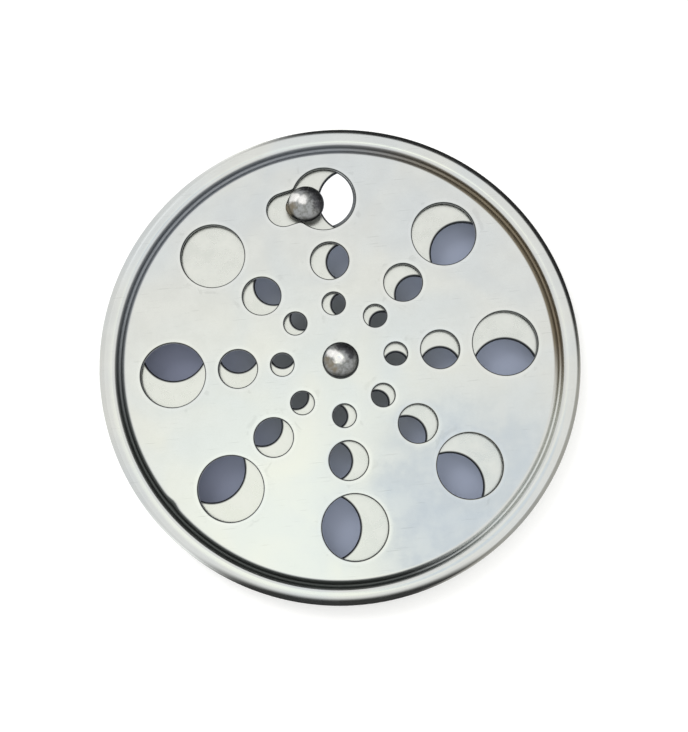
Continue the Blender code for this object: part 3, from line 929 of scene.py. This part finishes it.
# %% The washers' finish
tree, shader, place = finish("stamped stainless", [wave, backing])
specks = add(tree, "TexNoise", {"Vector": place, "Scale": per(1.5), "Detail": 3.0})
specked = add(tree, "MapRange", [specks, 0.35, 0.65])
tone = add(tree, "Mix", [specked, "#a9a9a6", "#c9c9c6"])
sheen = add(tree, "MapRange", [specks, 0.35, 0.65, 0.28, 0.42])
relief = add(tree, "Bump", {"Height": specks, "Strength": 0.3, "Distance": 0.00002})
fill(shader, {"Base Color": tone, "Roughness": sheen, "Normal": relief})

# %% [markdown]
# ## The camera
#
# The photograph looks down on the grate from about 260 mm, 8 degrees off the upright.  The grate
# lies turned a little in the picture.  Its CAD bodies place it, so the camera is turned about the
# pivot instead.

# %% Place the camera
PICTURE_TURN = -5.46
EYE = (5.28, -40.30, FACE_TOP + 259.60)
TILT = 8.419
LEAN = 0.878
FOCAL_PIXELS = 1000.0
PICTURE_HEIGHT = 732.0
turn = Matrix.Rotation(math.radians(PICTURE_TURN), 4, "Z")
lean = Matrix.Rotation(math.radians(LEAN), 4, "Y")
tilt = Matrix.Rotation(math.radians(TILT), 4, "X")
camera_data = bpy.data.cameras.new("camera")
camera_data.sensor_width = 36.0
camera_data.lens = camera_data.sensor_width * FOCAL_PIXELS / PICTURE_HEIGHT
camera_data.clip_start = 0.01
camera = new_object("camera", camera_data)
camera.matrix_world = turn @ Matrix.Translation(Vector(EYE) * MM) @ lean @ tilt
bpy.context.scene.camera = camera
print("camera at", [round(value / MM, 1) for value in camera.matrix_world.translation], "mm")

# %% [markdown]
# ## The floor
#
# The grate lies on a pale floor.  Under it the floor is in shade and shows through the holes, blue-grey
# with painted shade: darker to the left, and a darker neutral grey near the pivot.  Round the grate, a
# little added light makes the floor as white as the background, for the camera and for reflections
# alike, and the grate's shadow stays.  The floor is white through the keyhole too, so a round patch
# there glows white, a painted light, in a ring of painted grey shade.  The floor could be left dark
# under the grate, but then its underside would reflect nothing, so reflections alone find a dim light
# there.

# %% Make the floor
FLOOR_SIZE = 6.0
corners = FLOOR_SIZE / 2 * np.array(((-1, -1, 0), (1, -1, 0), (1, 1, 0), (-1, 1, 0)))
floor_mesh = bpy.data.meshes.new("floor")
floor_mesh.from_pydata(corners.tolist(), [], [(0, 1, 2, 3)])
floor = new_object("floor", floor_mesh)

# %% Paint the floor
# Lengths in metres from here on, as the object coordinates have them
GRATE_EDGE = 0.0629
# Where the camera sees the keyhole's round part on the floor, and how far the patch of painted white light
# reaches
SLIP_MIDDLE = (-0.00004, 0.04627, 0.0)
SLIP_RADIUS = 0.0081
tree, shader, place = finish("painted floor", [floor], metallic=0.0)
away = add(tree, "VectorMath", [place], operation="LENGTH")
outside = add(tree, "Math", [away, GRATE_EDGE], operation="GREATER_THAN")
apart = add(tree, "VectorMath", [place, SLIP_MIDDLE], operation="DISTANCE")
glowing_patch = add(tree, "Math", [apart, SLIP_RADIUS], operation="LESS_THAN")
side = add(tree, "SeparateXYZ", [place], output="X")
# Painted shade on the floor under the grate: darker to the left
to_right = add(tree, "MapRange", [side, -0.049, 0.0])
paint_and_shade = add(tree, "Mix", [to_right, "#868b9f", "#a9b1c5"])
# Painted shade: a darker neutral grey near the pivot
off_pivot = add(tree, "MapRange", [away, 0.014, 0.036])
paint_and_shade = add(tree, "Mix", [off_pivot, "#898d92", paint_and_shade])
# Painted shade: a grey ring round the keyhole's glowing patch
off_slip = add(tree, "MapRange", [apart, 0.0095, 0.0115])
paint_and_shade = add(tree, "Mix", [off_slip, "#85888a", paint_and_shade])
paint_and_shade = add(tree, "Mix", [outside, paint_and_shade, "#f4f4f2"])
fill(shader, {"Base Color": paint_and_shade, "Roughness": 0.9, "Specular IOR Level": 0.2})

# %% Make it white to the camera and to reflections, and clear from below
FLOOR_GLOW = 0.22
UNDER_GLOW = 0.5
glossy_ray = add(tree, "LightPath", output="Is Glossy Ray")
seen = glossy_ray
for ray in ("Is Camera Ray", "Is Transmission Ray"):
    seen = add(tree, "Math", [seen, add(tree, "LightPath", output=ray)], operation="MAXIMUM")
# The keyhole's patch glows fully white though it lies in shade, a painted light
glow = add(tree, "Math", [outside, FLOOR_GLOW, glowing_patch], operation="MULTIPLY_ADD")
glow = add(tree, "Math", [glow, seen], operation="MULTIPLY")
under = add(tree, "Math", [away, GRATE_EDGE], operation="LESS_THAN")
under = add(tree, "Math", [under, glossy_ray], operation="MULTIPLY")
glow = add(tree, "Math", [under, UNDER_GLOW, glow], operation="MULTIPLY_ADD")
fill(shader, {"Emission Strength": glow, "Emission Color": "#ffffff"})
behind = add(tree, "NewGeometry", output="Backfacing")
both = add(tree, "MixShader", [behind, shader.outputs[0], add(tree, "BsdfTransparent")])
fill(tree.nodes["Material Output"], {"Surface": both})

# %% [markdown]
# ## The light
#
# Polished metal shows what stands round it, so the light is set up as for a photograph of cutlery.
# A white room gives the pale tone of the sheet.  Overhead, a soft lamp brightens its lower left half
# and a cool card tints a part at the lower right, and a window to the upper left lights the rivets.
# Sheets of card lie on the floor up to the grate and are bent up behind it: dark ones at the back
# and in front, a grey one to the right and a white one to the left.  They draw the lines round the
# rim, the groove and the holes.  The front one stands close, so that it darkens the rim beside it
# and leaves the rivets light.  Only the metal sees the cards: the camera and the floor don't.

# %% Put a card into the scene
def place_card(name, points, faces, share, tone, strength):
    """A stage mesh that glows with its tone where its share is 1 and is clear where it is 0."""
    mesh = bpy.data.meshes.new(name)
    mesh.from_pydata(points.reshape(-1, 3).tolist(), [], faces.tolist())
    keep(mesh, "share", share)
    card = new_object(name, mesh)
    card.visible_camera = card.visible_diffuse = card.visible_shadow = False
    material = bpy.data.materials.new(name)
    material.use_nodes = True
    mesh.materials.append(material)
    tree = material.node_tree
    tree.nodes.remove(tree.nodes["Principled BSDF"])
    lit = add(tree, "Emission", {"Color": tone, "Strength": strength})
    kept = add(tree, "Attribute", output="Fac", attribute_name="share")
    faded = add(tree, "MixShader", [kept, add(tree, "BsdfTransparent"), lit])
    fill(tree.nodes["Material Output"], {"Surface": faded})
    print(f"{name}: {len(mesh.polygons)} faces")


# %% A round card overhead
CAP_RINGS = 25
CAP_POINTS = 48
CAP_START = 0.05


def round_card(name, west, south, solid, reach, tone, strength, distance):
    """A cap of a ball overhead: rings about an aim that leans west and south of straight up.

    A ring point is distance (cos a * aim + sin a * (cos b * side + sin b * across)) at angle a and
    turn b, and its share falls from 1 at the solid angle to 0 at the reach.
    """
    aim = np.array((-math.tan(math.radians(west)), -math.tan(math.radians(south)), 1.0))
    aim /= np.linalg.norm(aim)
    side = np.cross((0.0, 1.0, 0.0), aim)
    side /= np.linalg.norm(side)
    angle = np.linspace(CAP_START, reach, CAP_RINGS)[:, None, None]
    turn = np.radians(np.arange(CAP_POINTS) * 360.0 / CAP_POINTS)[None, :, None]
    ring = np.cos(turn) * side + np.sin(turn) * np.cross(aim, side)
    points = distance * (np.cos(np.radians(angle)) * aim + np.sin(np.radians(angle)) * ring)
    share = np.broadcast_to(smooth_step((reach - angle) / (reach - solid)), (*points.shape[:2], 1))
    place_card(name, points, grid_faces(points), share, tone, strength)


# %% A card bent up behind the grate
RIM_GAP = 0.0637
CARD_COLUMNS = 61
FLOOR_ROWS = 20
RISING_ROWS = 23


def bent_card(name, middle, half, top, solid, tone, strength, distance, lift):
    """A sheet on the floor from the rim out to a distance, then bent up along a ball about the pivot.

    With d = (|turn from the middle / half|^3 + (elevation / top)^3)^(1/3), its share falls smoothly
    from 1 where d is the solid part to 0 where d is 1.
    """
    turn = np.linspace(-half, half, CARD_COLUMNS)
    rise = np.linspace(0.0, top, RISING_ROWS + 1)[1:]
    lying = np.geomspace(RIM_GAP, distance, FLOOR_ROWS)
    run = np.concatenate((lying, distance * np.cos(np.radians(rise))))
    height = np.concatenate((np.full(FLOOR_ROWS, lift), distance * np.sin(np.radians(rise))))
    points = at_heights(on_circle(1.0, middle + turn)[None] * run[:, None, None], height)
    elevation = np.concatenate((np.zeros(FLOOR_ROWS), rise))[:, None]
    apart = np.cbrt(np.abs(turn / half) ** 3 + (elevation / top) ** 3)
    share = smooth_step((1.0 - apart) / (1.0 - solid))
    cells = np.arange(points.size // 3).reshape(-1, CARD_COLUMNS)
    quads = np.stack((cells[:-1, :-1], cells[:-1, 1:], cells[1:, 1:], cells[1:, :-1]), axis=-1)
    place_card(name, points, quads.reshape(-1, 4), share, tone, strength)


# %% Set up the cards overhead
# Angles in degrees: the lean of the aim, the solid part and the reach.  The distance is in metres
round_card("overhead_lamp", west=3.4, south=3.7, solid=1.0, reach=24.0,
           tone="#fdfff6", strength=1.35, distance=1.5)
round_card("cool_card", west=-7.8, south=1.9, solid=6.5, reach=8.5,
           tone="#ecf4fe", strength=1.0, distance=1.35)
round_card("window_card", west=28.0, south=-32.0, solid=5.0, reach=12.0,
           tone="#ffffff", strength=1.15, distance=1.45)

# %% Set up the cards round the grate
# Azimuths and elevations in degrees.  The cards overlap on the floor, so each has its own lift
bent_card("back_card", middle=52.0, half=60.0, top=41.0, solid=0.67,
          tone="#ffffff", strength=0.03, distance=1.1, lift=0.0003)
bent_card("front_card", middle=266.0, half=45.0, top=41.0, solid=0.55,
          tone="#ffffff", strength=0.05, distance=0.12, lift=0.0001)
bent_card("right_card", middle=332.0, half=52.0, top=31.0, solid=0.7,
          tone="#f6f4ee", strength=0.52, distance=1.2, lift=0.0002)
bent_card("left_card", middle=165.0, half=65.0, top=45.0, solid=0.6,
          tone="#f4f4f4", strength=1.0, distance=1.3, lift=0.0004)

# %% The window
WINDOW_DISTANCE = 1.0
WINDOW_SIZE = 0.56
WINDOW_BRIGHTNESS = 4.0
WINDOW_AZIMUTH = 126.0
WINDOW_ELEVATION = math.radians(46.0)
lamp = bpy.data.lights.new("window", "AREA")
lamp.shape = "DISK"
lamp.size = WINDOW_SIZE
lamp.energy = WINDOW_BRIGHTNESS * math.pi * math.pi * (WINDOW_SIZE / 2) ** 2
window = new_object("window", lamp)
aim = Vector((*on_circle(math.cos(WINDOW_ELEVATION), WINDOW_AZIMUTH), math.sin(WINDOW_ELEVATION)))
facing = aim.to_track_quat("Z", "Y").to_matrix().to_4x4()
window.matrix_world = Matrix.Translation(WINDOW_DISTANCE * aim) @ facing
window.visible_camera = window.visible_glossy = False
print(f"window: {lamp.energy:.2f} W")

# %% The white room
world = bpy.data.worlds.new("white room")
world.use_nodes = True
fill(world.node_tree.nodes["Background"], {"Color": "#ffffff"})
bpy.context.scene.world = world
bpy.context.scene.view_settings.view_transform = "Standard"
